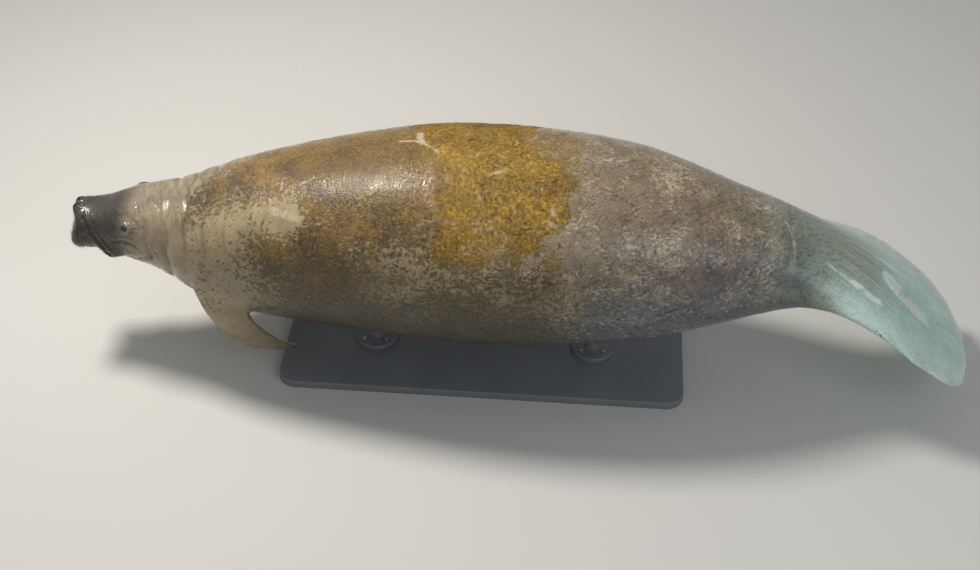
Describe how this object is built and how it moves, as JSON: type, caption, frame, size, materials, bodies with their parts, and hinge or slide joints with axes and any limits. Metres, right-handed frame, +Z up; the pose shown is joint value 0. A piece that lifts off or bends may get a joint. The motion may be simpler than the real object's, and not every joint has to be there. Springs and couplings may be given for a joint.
{
  "type": "manatee model",
  "caption": "Life-size still model of a Florida manatee floating with its back up and its tail paddle hanging, on a plain two-rod display stand.",
  "frame": {"origin": "on the floor under the middle of the whole piece's box", "axes": "+X from the snout to the tail, +Y to the animal's right side, +Z up"},
  "size_m": [2.9118, 0.7022, 0.8504],
  "materials": {
    "skin": "thick grey-tan hide, wet, with golden-brown algae over the back",
    "eye": "wet dark brown eye",
    "nail": "worn horn-coloured nail",
    "stand": "satin dark grey painted steel"
  },
  "bodies": {
    "root": {"head": "skin", "lower_jaw": "skin", "neck": "skin", "chest": "skin", "belly": "skin", "rump": "skin", "tail_stock": "skin", "tail_paddle": "skin", "flipper_left": "skin", "flipper_right": "skin", "eye_left": "eye", "eye_right": "eye", "nail_left_1": "nail", "nail_left_2": "nail", "nail_left_3": "nail", "nail_right_1": "nail", "nail_right_2": "nail", "nail_right_3": "nail", "stand_base": "stand", "stand_rod_front": "stand", "stand_rod_rear": "stand"}
  },
  "joints": []
}
